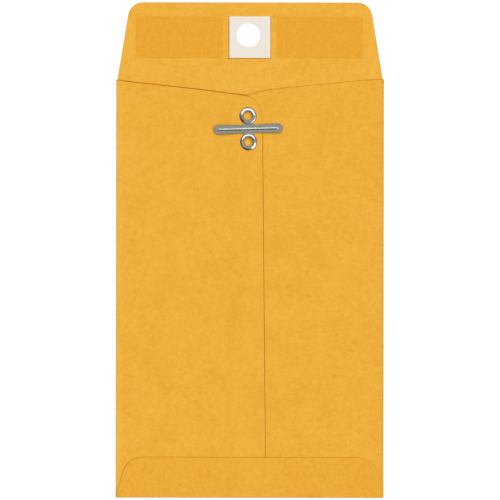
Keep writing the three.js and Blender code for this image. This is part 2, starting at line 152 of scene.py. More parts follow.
hole_y = 2 * hinge_y - clasp_y - HOLE_OFFSET_Y
patch_left = hole_x + PATCH_SHIFT_X - PATCH_WIDTH / 2
patch_right = patch_left + PATCH_WIDTH
patch_bottom = hole_y + PATCH_SHIFT_Y - PATCH_HEIGHT / 2
patch_top = patch_bottom + PATCH_HEIGHT


def seam_lap(y):
    return LAP_AT_BOTTOM + (LAP_AT_MOUTH - LAP_AT_BOTTOM) * (y - bottom_y) / BODY_LENGTH


def left_edge(y):
    return SEAM_CENTRE_X + seam_lap(y)


def right_edge(y):
    return SEAM_CENTRE_X - seam_lap(y)


def smooth(t):
    t = np.clip(t, 0.0, 1.0)
    return t * t * (3 - 2 * t)


# Outlines in plan

TINY = 1e-12
MITRE_LIMIT = 1.6


def arc_points(centre, start, end, steps):
    """Points from one offset of a centre to another, along the shorter arc."""
    a = math.atan2(start[1], start[0])
    b = math.atan2(end[1], end[0])
    turn = (b - a + math.pi) % (2 * math.pi) - math.pi
    radius = math.hypot(*start)
    turns = [a + turn * i / steps for i in range(steps + 1)]
    return [(centre[0] + radius * math.cos(t), centre[1] + radius * math.sin(t)) for t in turns]


def outline(corners, steps=16):
    """A closed outline through corners: (x, y), (x, y, radius) or (x, y, ease in, ease out)."""
    points = []
    for i, corner in enumerate(corners):
        here = np.array(corner[:2], float)
        if len(corner) == 2:
            points.append(tuple(here))
            continue
        back = np.array(corners[i - 1][:2], float) - here
        ahead = np.array(corners[(i + 1) % len(corners)][:2], float) - here
        back /= np.linalg.norm(back)
        ahead /= np.linalg.norm(ahead)
        if len(corner) == 3:
            half = math.acos(np.clip(back @ ahead, -1, 1)) / 2
            bisector = (back + ahead) / np.linalg.norm(back + ahead)
            centre = here + bisector * corner[2] / math.sin(half)
            reach = corner[2] / math.tan(half)
            start, end = here + back * reach - centre, here + ahead * reach - centre
            points += arc_points(centre, start, end, steps)
        else:
            start, end = here + back * corner[2], here + ahead * corner[3]
            for t in np.linspace(0, 1, steps + 1):
                p = start * (1 - t) ** 2 + here * 2 * t * (1 - t) + end * t * t
                points.append(tuple(p))
    return points


def circle(x, y, radius, steps=72):
    """A hole's outline, clockwise, so that the sheet lies on its left."""
    turns = [-2 * math.pi * i / steps for i in range(steps)]
    return [(x + radius * math.cos(a), y + radius * math.sin(a)) for a in turns]


def resampled(loop, pitch):
    """The same outline with no stretch longer than pitch."""
    points = []
    for a, b in zip(loop, loop[1:] + loop[:1]):
        count = max(1, math.ceil(math.dist(a, b) / pitch))
        for i in range(count):
            t = i / count
            points.append((a[0] + (b[0] - a[0]) * t, a[1] + (b[1] - a[1]) * t))
    return points


def drawn_in(loop, by):
    """An outline moved into the sheet that lies on its left."""
    p = np.array(loop)
    ahead = np.roll(p, -1, axis=0) - p
    ahead /= np.linalg.norm(ahead, axis=1)[:, None]
    back = np.roll(ahead, 1, axis=0)
    normal = np.stack([-ahead[:, 1] - back[:, 1], ahead[:, 0] + back[:, 0]], axis=1)
    length = np.linalg.norm(normal, axis=1)[:, None]
    normal /= length
    return p + normal * by * np.minimum(2 / length, MITRE_LIMIT)


def inside(points, loop):
    """Which points lie inside a closed loop, by counting crossings."""
    a = np.array(loop)
    b = np.roll(a, -1, axis=0)
    x, y = points[:, 0][:, None], points[:, 1][:, None]
    crosses = (a[:, 1] > y) != (b[:, 1] > y)
    with np.errstate(divide="ignore", invalid="ignore"):
        at = (b[:, 0] - a[:, 0]) * (y - a[:, 1]) / (b[:, 1] - a[:, 1]) + a[:, 0]
    return (crosses & (x < at)).sum(axis=1) % 2 == 1


def distance_to(points, loop):
    """Distance from each point to a closed loop."""
    a = np.array(loop)
    d = np.roll(a, -1, axis=0) - a
    best = np.full(len(points), np.inf)
    for p, e in zip(a, d):
        t = np.clip(((points - p) @ e) / max(e @ e, TINY), 0, 1)
        gap = points - p - t[:, None] * e
        best = np.minimum(best, np.hypot(gap[:, 0], gap[:, 1]))
    return best


# Thin sheets

# As shares of a mesh's pitch
ROW_HEIGHT = 0.866
ROW_GAP = 0.35
COLUMN_GAP = 0.3
CUT_GAP = 0.4
EDGE_PITCH = 0.6
BEND_REACH = 1.5

# As a share of the edge's pitch
EDGE_GAP = 0.35

BEND_CLEARANCE = 0.04
SAME_POINT = 1e-7
FLAT_NORMAL_Z = 0.9999


def linked(name, data):
    """A new object in the scene."""
    obj = bpy.data.objects.new(name, data)
    bpy.context.collection.objects.link(obj)
    return obj


def new_object(name, points, faces, materials, slots=None, body=None):
    """A smooth mesh object from points in millimetres."""
    mesh = bpy.data.meshes.new(name)
    mesh.from_pydata([tuple(p) for p in np.asarray(points) * MM], [], faces)
    for material in materials:
        mesh.materials.append(material)
    if slots is not None:
        mesh.polygons.foreach_set("material_index", slots)
    mesh.polygons.foreach_set("use_smooth", [True] * len(mesh.polygons))
    mesh.validate()
    mesh.update()
    obj = linked(name, mesh)
    if body:
        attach(obj, body)
    return obj


def grid(loop, pitch, lines_u, lines_v):
    """Staggered points over an outline's box, and the lines along which the sheet bends."""
    p = np.array(loop)
    (u0, v0), (u1, v1) = p.min(axis=0), p.max(axis=0)
    step_v = pitch * ROW_HEIGHT
    rows = np.arange(v0 + step_v / 2, v1, step_v)
    columns = np.arange(u0 + pitch / 2, u1, pitch)
    for v in lines_v:
        rows = rows[np.abs(rows - v) > pitch * ROW_GAP]
    points = [(u + (pitch / 2 if i % 2 else 0), v) for i, v in enumerate(rows) for u in columns]
    if len(lines_u):
        taken = np.array(points)
        near = np.abs(taken[:, 0][:, None] - np.array(lines_u)[None, :]).min(axis=1)
        points = [tuple(q) for q in taken[near > pitch * COLUMN_GAP]]
    bends = [[(u, v) for u in columns] for v in lines_v]
    bends += [[(u, v) for v in np.arange(v0 + pitch / 2, v1, pitch)] for u in lines_u]
    return points, bends


def clear_of_edges(points, loops, gap):
    """Those of the points that lie in the sheet and further than gap from all its edges."""
    points = np.array(points, float).reshape(-1, 2)
    points = points[inside(points, loops[0])]
    clear = np.full(len(points), np.inf)
    for loop in loops:
        clear = np.minimum(clear, distance_to(points, loop))
    for loop in loops[1:]:
        clear[inside(points, loop)] = 0
    return points[clear > gap]


def ring_points(loops, rings):
    """Each loop drawn in by each ring: points, edges, each point's ring, and loops as indices."""
    coords, edges, depth, boundary = [], [], [], []
    for loop in loops:
        for ring in rings:
            start = len(coords)
            points = loop if ring == 0 else [tuple(q) for q in drawn_in(loop, ring)]
            coords += points
            count = len(points)
            edges += [(start + i, start + (i + 1) % count) for i in range(count)]
            depth += [ring] * count
            if ring == 0:
                boundary.append(list(range(start, start + count)))
    return coords, edges, depth, boundary


def mesh_plan(loops, pitch, rings, lines_u=(), lines_v=(), edge_pitch=None, cuts=()):
    """Triangles over an outline with holes. No triangle crosses a cut, or where there is none, a
    line along which the sheet bends. Returns plan points, triangles, boundary loops as indices
    and each point's ring, as its distance from the edge."""
    edge_pitch = edge_pitch or pitch * EDGE_PITCH
    loops = [resampled(loop, edge_pitch) for loop in loops]
    coords, edges, depth, boundary = ring_points(loops, rings)
    spread, bends = grid(loops[0], pitch, lines_u, lines_v)
    inner = [clear_of_edges(spread, loops, rings[-1] + edge_pitch * EDGE_GAP)]
    inner += [clear_of_edges(line, loops, rings[-1] + BEND_CLEARANCE) for line in bends]
    for i, points in enumerate(inner):
        for cut in cuts:
            points = points[np.abs(points[:, 0] - cut[0][0]) > pitch * CUT_GAP]
        start = len(coords)
        coords += [tuple(q) for q in points]
        if i and not cuts:
            edges += [(start + j, start + j + 1) for j in range(len(points) - 1)
                      if math.dist(points[j], points[j + 1]) < pitch * BEND_REACH]
    for cut in cuts:
        start = len(coords)
        edges += [(start + i, start + i + 1) for i in range(len(cut) - 1)]
        coords += cut
    depth += [rings[-1]] * (len(coords) - len(depth))
    places = [Vector(c) for c in coords]
    verts, _, faces, origin, _, _ = delaunay_2d_cdt(places, edges, [], 0, SAME_POINT)
    plan = np.array([tuple(v) for v in verts])
    tri = np.array([tuple(f) for f in faces])
    middle = plan[tri].mean(axis=1)
    good = inside(middle, loops[0])
    for loop in loops[1:]:
        good &= ~inside(middle, loop)
    where = {source: i for i, sources in enumerate(origin) for source in sources}
    ring_of = np.full(len(plan), rings[-1])
    for source, i in where.items():
        ring_of[i] = min(ring_of[i], depth[source])
    return plan, tri[good], [[where[i] for i in loop] for loop in boundary], ring_of


def closed_faces(tri, boundary, count):
    """A sheet's triangles above and below, and the walls along its boundary."""
    faces = [tuple(t) for t in tri] + [tuple(t[::-1] + count) for t in tri]
    for loop in boundary:
        for a, b in zip(loop, loop[1:] + loop[:1]):
            faces.append((b, a, a + count, b + count))
    return faces


def sheet(name, loops, shape, thickness, materials, pitch=1.6, rings=(0, 0.12, 0.26),
          rounding=0.045, lines_u=(), lines_v=(), edge_pitch=None, body=None, broad=None):
    """A thin sheet over an outline. shape(plan) gives its upper points and their normals. The
    cut edge is softly rounded, and takes the second material, painted shade or a painted
    highlight along the edge, as far as the second ring, or the third where broad(plan) is true.
    A crease is shaded with its true normals."""
    plan, tri, boundary, ring_of = mesh_plan(loops, pitch, rings, lines_u, lines_v, edge_pitch)
    top, normal = shape(plan)
    fall = rounding * np.clip(1 - ring_of / rings[1], 0, 1)[:, None]
    points = np.concatenate([top - normal * fall, top - normal * (thickness - fall)])
    # The faces along the cut edge take the second material: painted shade, or on the patch a
    # painted highlight
    on_edge = (ring_of[tri] < rings[1] / 2).any(axis=1)
    if broad:
        near = (ring_of[tri] < (rings[1] + rings[2]) / 2).any(axis=1)
        on_edge |= near & broad(plan[tri].mean(axis=1))
    faces = closed_faces(tri, boundary, len(plan))
    slots = [int(e) for e in on_edge] * 2
    slots += [1] * (len(faces) - len(slots))
    if len(materials) == 1:
        slots = [0] * len(slots)
    piece = new_object(name, points, faces, materials, slots, body)
    bent = (ring_of >= rings[-1]) & (np.abs(normal[:, 2]) < FLAT_NORMAL_Z)
    if bent.any():
        exact = np.where(bent[:, None], normal, 0.0)
        both = np.concatenate([exact, -exact])
        piece.data.normals_split_custom_set_from_vertices([tuple(n) for n in both])
    return piece


# Shader nodes

# Noise patterns: scale, detail and roughness
CLOUD = (90, 3, 0.55)
MOTTLE = (520, 3, 0.6)
TOOTH = (2400, 2, 0.6)
FIBRES = (1.0, 2, 0.5)
GUM_GRAIN = (1900, 2, 0.6)
BLOOM = (700, 3, 0.55)
ROLLED = (1.0, 3, 0.6)

# The fibres' stretch along and across, and how a seed moves all patterns
ALONG = (2600, 420, 1500)
ACROSS = (380, 2400, 1500)
SEED_STEP = (1, 0.7, 0.3)

# A pattern's values at its two ends
PAPER_RANGE = (0.9, 1.55)
GUM_RANGE = (0.6, 1.1)
FIBRE_RANGE = (0.7, 1.3)
NOISE_RANGE = (0.3, 0.7)

# The contrast's share of each colour, metal's two shades, and grain
SWING = (0.43, 1, 3.3)
METAL_SWING = (0.9, 1.08)
GUM_HEIGHT = 0.008
METAL_GRAIN = 0.0015

PAPER_SPECULAR = 0.12
GUM_DARK = (0.780, 0.340, 0.0165)
GUM_LIGHT = (0.850, 0.405, 0.0365)
GUM_ROUGHNESS = (0.6, 0.75)
SPOT_FLATNESS = 25


def feed(tree, node, inputs):
    """Sets a node's inputs to values, or links them to other nodes' outputs."""
    for key, value in inputs.items():
        if isinstance(value, bpy.types.NodeSocket):
            tree.links.new(value, node.inputs[key])
        else:
            node.inputs[key].default_value = value


def add_node(tree, kind, inputs):
    node = tree.nodes.new(kind)
    feed(tree, node, inputs)
    return node


def empty_material(name):
    material = bpy.data.materials.new(name)
    material.use_nodes = True
    material.node_tree.nodes.clear()
    return material, material.node_tree


def node_material(name):
    """A new material with its nodes, its shader and the place on the object."""
    material, tree = empty_material(name)
    shader = tree.nodes.new("ShaderNodeBsdfPrincipled")
    add_node(tree, "ShaderNodeOutputMaterial", {"Surface": shader.outputs["BSDF"]})
    return material, tree, shader, tree.nodes.new("ShaderNodeTexCoord").outputs["Object"]


def stretched(tree, where, scale):
    """The place, stretched by a factor along each axis."""
    return add_node(tree, "ShaderNodeMapping", {"Vector": where, "Scale": scale}).outputs["Vector"]


def noise(tree, where, scale, detail, rough):
    inputs = {"Vector": where, "Scale": scale, "Detail": detail, "Roughness": rough}
    return add_node(tree, "ShaderNodeTexNoise", inputs).outputs["Fac"]


def remap(tree, value, low, high, to_low, to_high):
    span = {"From Min": low, "From Max": high, "To Min": to_low, "To Max": to_high}
    return add_node(tree, "ShaderNodeMapRange", {"Value": value, **span}).outputs["Result"]


def math_node(tree, kind, a, b):
    node = add_node(tree, "ShaderNodeMath", {0: a, 1: b})
    node.operation = kind
    return node.outputs[0]


def vector_math(tree, kind, a, b):
    node = add_node(tree, "ShaderNodeVectorMath", {0: a, 1: b})
    node.operation = kind
    return node.outputs["Value"]


def weighted(tree, *terms):
    """The sum of values, each times its weight."""
    total = None
    for value, weight in terms:
        part = value if weight == 1 else math_node(tree, "MULTIPLY", value, weight)
        total = math_node(tree, "ADD", total, part) if total else part
    return total


# A mix node's sockets for colours
MIX_A, MIX_B, MIX_RESULT = 6, 7, 2


def blended(tree, factor, a, b, kind="MIX"):
    """A colour between two others, or one multiplied by the other."""
    node = tree.nodes.new("ShaderNodeMix")
    node.data_type = "RGBA"
    node.blend_type = kind
    a, b = ((*colour, 1) if isinstance(colour, tuple) else colour for colour in (a, b))
    feed(tree, node, {"Factor": factor, MIX_A: a, MIX_B: b})
    return node.outputs[MIX_RESULT]


def bump(tree, height, distance):
    inputs = {"Height": height, "Distance": distance, "Strength": 1.0}
    return add_node(tree, "ShaderNodeBump", inputs).outputs["Normal"]


def paper_patterns(tree, where, seed):
    """Cloud, mottle, fine tooth, and short fibres along and across the machine direction."""
    shift = {"Vector": where, "Location": tuple(seed * step for step in SEED_STEP)}
    place = add_node(tree, "ShaderNodeMapping", shift).outputs["Vector"]
    cloud, mottle, tooth = (noise(tree, place, *kind) for kind in (CLOUD, MOTTLE, TOOTH))
    along, across = (noise(tree, stretched(tree, place, s), *FIBRES) for s in (ALONG, ACROSS))
    return cloud, mottle, tooth, math_node(tree, "ADD", along, across)


def with_crease_shading(tree, where, shade, crease_shading):
    """Multiplies painted crease light and shade into the colour: the x where its tint starts, the
    x where it is whole, and the tint.
    """
    start, end, tint = crease_shading
    x = add_node(tree, "ShaderNodeSeparateXYZ", {"Vector": where}).outputs["X"]
    return blended(tree, remap(tree, x, start, end, 0, 1), shade, tint, "MULTIPLY")


def with_painted_light(tree, where, shade, painted_light):
    """Paints a spot of painted light: its place, how far its own colour reaches, where that has
    faded out, and its colour. It is flat, so that no other layer of paper above it takes its
    colour."""
    (x, y, z), reach, faded, colour = painted_light
    layered = stretched(tree, where, (1, 1, SPOT_FLATNESS))
    near = vector_math(tree, "DISTANCE", layered, (x, y, z * SPOT_FLATNESS))
    return blended(tree, remap(tree, near, reach, faded, 1, 0), shade, colour)


def paper_material(name, colour, contrast=0.14, roughness=0.85, grain=0.012, seed=0.0, painted_light=None,
                   crease_shading=None):
    """Paper in a colour that its patterns darken and lighten, with a spot of painted light and
    painted light and shade at a crease, where given.
    """
    material, tree, shader, where = node_material(name)
    cloud, mottle, tooth, fibres = paper_patterns(tree, where, seed)
    mixed = weighted(tree, (cloud, 0.45), (mottle, 0.7), (fibres, 0.45), (tooth, 0.35))
    swing = [contrast * share for share in SWING]
    dark = tuple(c * (1 - w) for c, w in zip(colour, swing))
    light = tuple(min(1.0, c * (1 + w)) for c, w in zip(colour, swing))
    shade = blended(tree, remap(tree, mixed, *PAPER_RANGE, 0, 1), dark, light)
    if crease_shading:
        shade = with_crease_shading(tree, where, shade, crease_shading)
    if painted_light:
        shade = with_painted_light(tree, where, shade, painted_light)
    height = weighted(tree, (mottle, 1.6), (fibres, 1), (tooth, 0.5))
    feed(tree, shader, {
        "Base Color": shade,
        "Roughness": remap(tree, fibres, *FIBRE_RANGE, roughness - 0.05, roughness + 0.06),
        "Specular IOR Level": PAPER_SPECULAR,
        "Normal": bump(tree, height, grain * MM),
    })
    return material


def metal_material(name, colour, roughness, stretch):
    """Tin-plated strip: faint rolling lines one way, cloudy bloom in the plating."""
    material, tree, shader, where = node_material(name)
    lines = noise(tree, stretched(tree, where, stretch), *ROLLED)
    bloom = noise(tree, where, *BLOOM)
    dark, light = (tuple(min(1.0, c * share) for c in colour) for share in METAL_SWING)
    feed(tree, shader, {
        "Base Color": blended(tree, remap(tree, bloom, *NOISE_RANGE, 0, 1), dark, light),
        "Metallic": 1.0,
        "Roughness": remap(tree, lines, *NOISE_RANGE, roughness - 0.05, roughness + 0.07),
        "Normal": bump(tree, weighted(tree, (lines, 1), (bloom, 0.6)), METAL_GRAIN * MM),
    })
    return material


def gum_material():
    """Dry gum laid on kraft: the paper shows through, a little darker, with a satin film."""
    material, tree, shader, where = node_material("dry_gum")
    mottle = noise(tree, where, *MOTTLE)
    fine = noise(tree, where, *GUM_GRAIN)
    factor = remap(tree, weighted(tree, (mottle, 0.7), (fine, 1)), *GUM_RANGE, 0, 1)
    feed(tree, shader, {
        "Base Color": blended(tree, factor, GUM_DARK, GUM_LIGHT),
        "Roughness": remap(tree, fine, *NOISE_RANGE, *GUM_ROUGHNESS),
        "Specular IOR Level": PAPER_SPECULAR,
        "Normal": bump(tree, weighted(tree, (mottle, 1.4), (fine, 1)), GUM_HEIGHT * MM),
    })
    return material


# Painted light and shade, in metres, in the form the spot and crease functions above take:
# lighter paper where the eyelet bores shade it, a fainter stretch of the left edge's painted
# shade near the V, painted light on the left crease and painted shade on the right crease
BORE_PAINTED_LIGHT = ((clasp_x * MM, clasp_y * MM, PAPER * MM), 0.008, 0.010, (1.0, 0.50, 0.052))
LESS_EDGE_SHADE_AT_V = ((4.2 * MM, 54 * MM, seam_top * MM), 0.0045, 0.0075, (0.68, 0.295, 0.012))
LEFT_CREASE_PAINTED_LIGHT = ((3.2 - half_width) * MM, (1.6 - half_width) * MM, (1.01, 1.065, 1.19))
RIGHT_CREASE_PAINTED_SHADE = ((half_width - 1.3) * MM, (half_width - 0.3) * MM, (0.84, 0.90, 1.05))

kraft_inner = paper_material("kraft_inside", (0.848, 0.430, 0.0500), seed=0.31, painted_light=BORE_PAINTED_LIGHT)
kraft_left = paper_material("kraft_left", (0.836, 0.420, 0.0447), seed=0.0, crease_shading=LEFT_CREASE_PAINTED_LIGHT)
kraft_right = paper_material("kraft_right", (0.835, 0.419, 0.0444), seed=0.17, crease_shading=RIGHT_CREASE_PAINTED_SHADE)
kraft_bottom = paper_material("kraft_bottom", (0.826, 0.403, 0.0409), seed=0.53)
# Painted shade along the paper's cut edges: dark bands that stand in for the thin shadow at each
# edge, darkest on the left panel
left_edge_shade = paper_material(
    "kraft_edge_painted_shade_left", (0.490, 0.108, 0.002), contrast=0.12, seed=0.7, painted_light=LESS_EDGE_SHADE_AT_V
)
right_edge_shade = paper_material("kraft_edge_painted_shade_right", (0.690, 0.220, 0.003), contrast=0.12, seed=0.74)
bottom_edge_shade = paper_material("kraft_edge_painted_shade_bottom", (0.658, 0.265, 0.006), contrast=0.1, seed=0.77)
front_edge_shade = paper_material("kraft_edge_painted_shade_front", (0.640, 0.300, 0.030), contrast=0.1, seed=0.8)
patch_paper = paper_material(
    "patch_paper", (0.847, 0.777, 0.695), contrast=0.022, grain=0.008, seed=0.9
)
# A painted highlight along the patch's outer edge and round its hole
patch_edge_highlight = paper_material("patch_edge_painted_highlight", (0.99, 0.93, 0.80), contrast=0.01, seed=0.95)
# Painted shadow along the patch's sides and lower edge
patch_edge_shadow = paper_material("patch_edge_shadow", (0.460, 0.170, 0.002), contrast=0.1, roughness=0.6)
gum = gum_material()
glue = paper_material("set_adhesive", (0.800, 0.690, 0.420), contrast=0.05, roughness=0.5)

# The rolling lines' stretch on the strap and on drawn metal
STRAP_LINES = (90, 2600, 900)
DRAWN_LINES = (900, 900, 300)
tin_strap = metal_material("tinplate_strap", (0.52, 0.53, 0.455), 0.16, STRAP_LINES)
tin_bright = metal_material("tinplate_drawn", (0.56, 0.57, 0.57), 0.13, DRAWN_LINES)
# Painted shade on the eyelets' inner slope, outer foot, barrel and clinch
tin_painted_shade = metal_material("tinplate_painted_shade", (0.26, 0.25, 0.22), 0.35, DRAWN_LINES)
# Painted shade and a painted reflection of the kraft along the strap's and prongs' cut edges
tin_edge_shade = metal_material("tinplate_edge_painted_shade", (0.42, 0.33, 0.15), 0.3, DRAWN_LINES)


# Kraft blank

UP = np.array([0.0, 0.0, 1.0])


def lying(z):
    """A shape function for a flat sheet whose upper face is at z."""
    def shape(plan):
        top = np.column_stack([plan, np.full(len(plan), float(z))])
        return top, np.repeat(UP[None, :], len(plan), axis=0)
    return shape


def front_outline():
    return outline([
        (-crease_x, panel_bottom_y), (crease_x, panel_bottom_y),
        (crease_x, crease_top_y), (flap_root_half, flap_root_y),
        (flap_tip_half, flap_tip_y, FLAP_CORNER_RADIUS),
        (-flap_tip_half, flap_tip_y, FLAP_CORNER_RADIUS),
        (-flap_root_half, flap_root_y), (-crease_x, crease_top_y),
    ])


FINE_ROWS_HALF = 0.6
FINE_ROWS = 21
fold_rows = [hinge_y + d for d in np.linspace(-FINE_ROWS_HALF, FINE_ROWS_HALF, FINE_ROWS)]


def build_front():
    """The front panel and the closure flap, one sheet that bends at the score."""
    loops = [front_outline(), circle(hole_x, hole_y, HOLE_DIAMETER / 2)]
    piece = sheet("kraft_front_sheet", loops, lying(PAPER), PAPER, [kraft_inner, front_edge_shade],
                  pitch=2.0, lines_v=fold_rows)
    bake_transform(piece)
    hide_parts("front_panel", "closure_flap")


SQUARE_SHARE = 0.6


def side_outline(side, edge, shoulder_drop, knee, seam_drop, ease):
    """A side panel and its crease, unfolded into one plane. The crease lies past crease_x, and
    its top is square as far as the outermost part of its half round."""
    seam_y = shoulder_y - seam_drop
    corners = [
        (side * (crease_x + crease_wrap), panel_bottom_y),
        (side * (crease_x + crease_wrap), crease_top_y),
        (side * (crease_x + crease_wrap * SQUARE_SHARE), shoulder_y - shoulder_drop),
        (side * crease_x, shoulder_y - shoulder_drop),
        (*knee, KNEE_RADIUS),
        (edge(seam_y), seam_y, *ease),
        (edge(panel_bottom_y), panel_bottom_y),
    ]
    points = outline(corners)
    return points if side > 0 else points[::-1]


left_knee = (left_edge(shoulder_y - LEFT_SEAM_DROP) - LEFT_KNEE_FROM_EDGE,
             shoulder_y - LEFT_KNEE_DROP)
right_knee = (half_width - RIGHT_KNEE_FROM_SIDE, shoulder_y - RIGHT_KNEE_DROP)
left_plan = side_outline(-1, left_edge, LEFT_SHOULDER_DROP, left_knee, LEFT_SEAM_DROP,
                         (LEFT_EASE_ALONG_MOUTH, LEFT_EASE_ALONG_SEAM))
right_plan = side_outline(1, right_edge, RIGHT_SHOULDER_DROP, right_knee, RIGHT_SEAM_DROP,
                          (RIGHT_EASE_ALONG_MOUTH, RIGHT_EASE_ALONG_SEAM))

# How deep each panel sags at the mouth, and how much lower the mouth is at its middle
LEFT_SAG = 0.14
RIGHT_SAG = 0.2
SAG_LENGTH = 13.0
MOUTH_SLANT = 7.0

# The sag fades out at the creases, keeps a share at the seam, and is none near the clasp
CREASE_HOLDS = 10
SEAM_SHARE = 0.25
SEAM_HALF = 4
SEAM_HOLDS = 16
CLASP_LOW_Y = 57
CLASP_HOLDS_Y = 4
CLASP_HALF = 6
CLASP_HOLDS_X = 6


def sag(plan, depth):
    """How far the mouth of the pocket sinks towards the front panel. The clasp holds the seam."""
    out, y = np.abs(plan[:, 0]), plan[:, 1]
    mouth = shoulder_y - MOUTH_SLANT * (1 - out / half_width)
    near_mouth = smooth((y - (mouth - SAG_LENGTH)) / SAG_LENGTH)
    from_crease = smooth((crease_x - out) / CREASE_HOLDS)
    from_clasp = SEAM_SHARE + (1 - SEAM_SHARE) * smooth((out - SEAM_HALF) / SEAM_HOLDS)
    held = smooth((y - CLASP_LOW_Y) / CLASP_HOLDS_Y) + smooth((out - CLASP_HALF) / CLASP_HOLDS_X)
    return depth * near_mouth * from_crease * from_clasp * np.clip(held, 0, 1)


LAP_REACH = 14
PANEL_CLIMB = 2.2


def over_hidden_panel(plan):
    """How far the left panel climbs over the hidden edge of the right one, and its corner."""
    near = np.abs(plan[:, 0]) < LAP_REACH
    rise = np.where(plan[:, 0] > 0, 1.0, 0.0)
    picked = plan[near]
    d = distance_to(picked, right_plan)
    d[~inside(picked, right_plan)] *= -1
    rise[near] = smooth((d + PANEL_CLIMB) / PANEL_CLIMB)
    return seam_rise * rise


def side_shape(side, depth, climbs):
    """Folds a side panel and its crease up from the plane."""
    def shape(plan):
        u = plan[:, 0] * side
        turn = np.clip((u - crease_x) / crease_middle, 0, math.pi)
        out = np.minimum(u, crease_x)
        x = out + side_radius * np.sin(turn)
        z = side_radius + side_radius * np.cos(turn)
        z = z - np.where(u < crease_x, sag(plan, depth), 0)
        if climbs:
            z = z + np.where(u < crease_x, over_hidden_panel(plan), 0)
        normal = np.column_stack([side * np.sin(turn), np.zeros(len(u)), np.cos(turn)])
        return np.column_stack([side * x, plan[:, 1], z]), normal
    return shape


def eyelet_centres():
    for side in (-1, 1):
        along = side * EYELET_PITCH / 2
        x = clasp_x - along * math.sin(clasp_turn)
        yield x, clasp_y + along * math.cos(clasp_turn)


PUNCH_RADIUS = EYELET_BORE / 2 + BARREL_WALL + PUNCH_CLEARANCE
PUNCH_STEPS = 48
CREASE_LINES = 15
# The stretch of the mouth where the left panel's painted edge shade is broader
LEFT_MOUTH_START_X = -48.5
LEFT_MOUTH_END_X = -1.2
LEFT_MOUTH_LOW_Y = 58.0


def at_left_mouth(plan):
    """Where the painted shade along the left panel's cut edge is broader: along the mouth, from
    near its crease to the V.
    """
    x, y = plan[:, 0], plan[:, 1]
    return (x > LEFT_MOUTH_START_X) & (x < LEFT_MOUTH_END_X) & (y > LEFT_MOUTH_LOW_Y)


def build_sides():
    """The two side panels with their creases, each one sheet, punched for the clasp."""
    bends = np.linspace(0, crease_wrap, CREASE_LINES)
    holes = [circle(x, y, PUNCH_RADIUS, PUNCH_STEPS) for x, y in eyelet_centres()]
    left = sheet("kraft_left_panel", [left_plan] + holes, side_shape(-1, LEFT_SAG, True), PAPER,
                 [kraft_left, left_edge_shade], rings=(0, 0.2, 0.29), broad=at_left_mouth,
                 lines_u=[-crease_x - b for b in bends], body="envelope_body")
    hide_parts("left_side_panel", "left_side_crease")
    right = sheet("kraft_right_panel", [right_plan] + holes, side_shape(1, RIGHT_SAG, False),
                  PAPER, [kraft_right, right_edge_shade], rings=(0, 0.15, 0.29),
                  lines_u=[crease_x + b for b in bends], body="envelope_body")
    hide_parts("right_side_panel", "right_side_crease")


SEAM_CLIMB = 2.4
SEAM_DESCENT = 1.1


def over_seam(x, y):
    """How much higher the bottom flap lies over the two panels' overlap."""
    climb = smooth((x - right_edge(y) + SEAM_CLIMB) / SEAM_CLIMB)
    descent = smooth((x - left_edge(y)) / SEAM_DESCENT)
    return seam_rise * (climb - descent)


FOLD_RUN = 0.4
FOLD_LENGTH = 2 * FOLD_RUN + math.pi * (bottom_radius - PAPER / 2)
FIRST_ROW = 0.12
BOTTOM_ROWS = 20


def bottom_shape(plan):
    """Folds the bottom flap over: flat start, round crease, then up over the side panels."""
    x, v = plan[:, 0], plan[:, 1]
    rise = over_seam(x, np.maximum(v, panel_bottom_y))
    radius = bottom_radius + rise / 2
    centre = bottom_y + radius
    run = panel_bottom_y - centre
    length = 2 * run + math.pi * radius
    s = np.clip((v - (panel_bottom_y - FOLD_LENGTH)) / FOLD_LENGTH, 0, 1) * length
    turn = np.clip((s - run) / radius, 0, math.pi)
    y = centre - radius * np.sin(turn)
    y = np.where(s < run, panel_bottom_y - s, y)
    y = np.where(s > run + math.pi * radius, centre + (s - run - math.pi * radius), y)
    y = np.where(v > panel_bottom_y, v, y)
    z = radius - radius * np.cos(turn)
    normal = np.column_stack([np.zeros(len(x)), -np.sin(turn), -np.cos(turn)])
    return np.column_stack([x, y, z]), normal


def bottom_outline():
    top_y = bottom_y + BOTTOM_FLAP_HEIGHT
    def drawn(foot, slant):
        return (top_y - panel_bottom_y - foot) * math.tan(math.radians(slant))
    return outline([
        (-half_width, panel_bottom_y - FOLD_LENGTH),
        (half_width, panel_bottom_y - FOLD_LENGTH),
        (half_width, panel_bottom_y + RIGHT_FOOT),
        (half_width - drawn(RIGHT_FOOT, RIGHT_SLANT_DEG), top_y, RIGHT_CORNER_RADIUS),
        (drawn(LEFT_FOOT, LEFT_SLANT_DEG) - half_width, top_y, LEFT_CORNER_RADIUS),
        (-half_width, panel_bottom_y + LEFT_FOOT),
    ])


def build_bottom():
    """The bottom flap and its crease, one sheet over both side panels."""
    rows = np.linspace(panel_bottom_y - FOLD_LENGTH + FIRST_ROW, panel_bottom_y, BOTTOM_ROWS)
    piece = sheet("kraft_bottom_flap", [bottom_outline()], bottom_shape, PAPER,
                  [kraft_bottom, bottom_edge_shade], pitch=1.1, rings=(0, 0.17, 0.31),
                  lines_v=rows, body="envelope_body")
    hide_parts("bottom_flap", "bottom_crease")


# On the closure flap

# The gum's wandering edge, and both kinds of corner
GUM_PITCH = 0.5
GUM_MARGIN = 0.03
GUM_WAVER = 0.01
GUM_WAVES = (0.7, 1.3, 2.9, 4.1, 6.3, 9.7)
GUM_CORNER = 0.3
PATCH_CORNER = 0.15


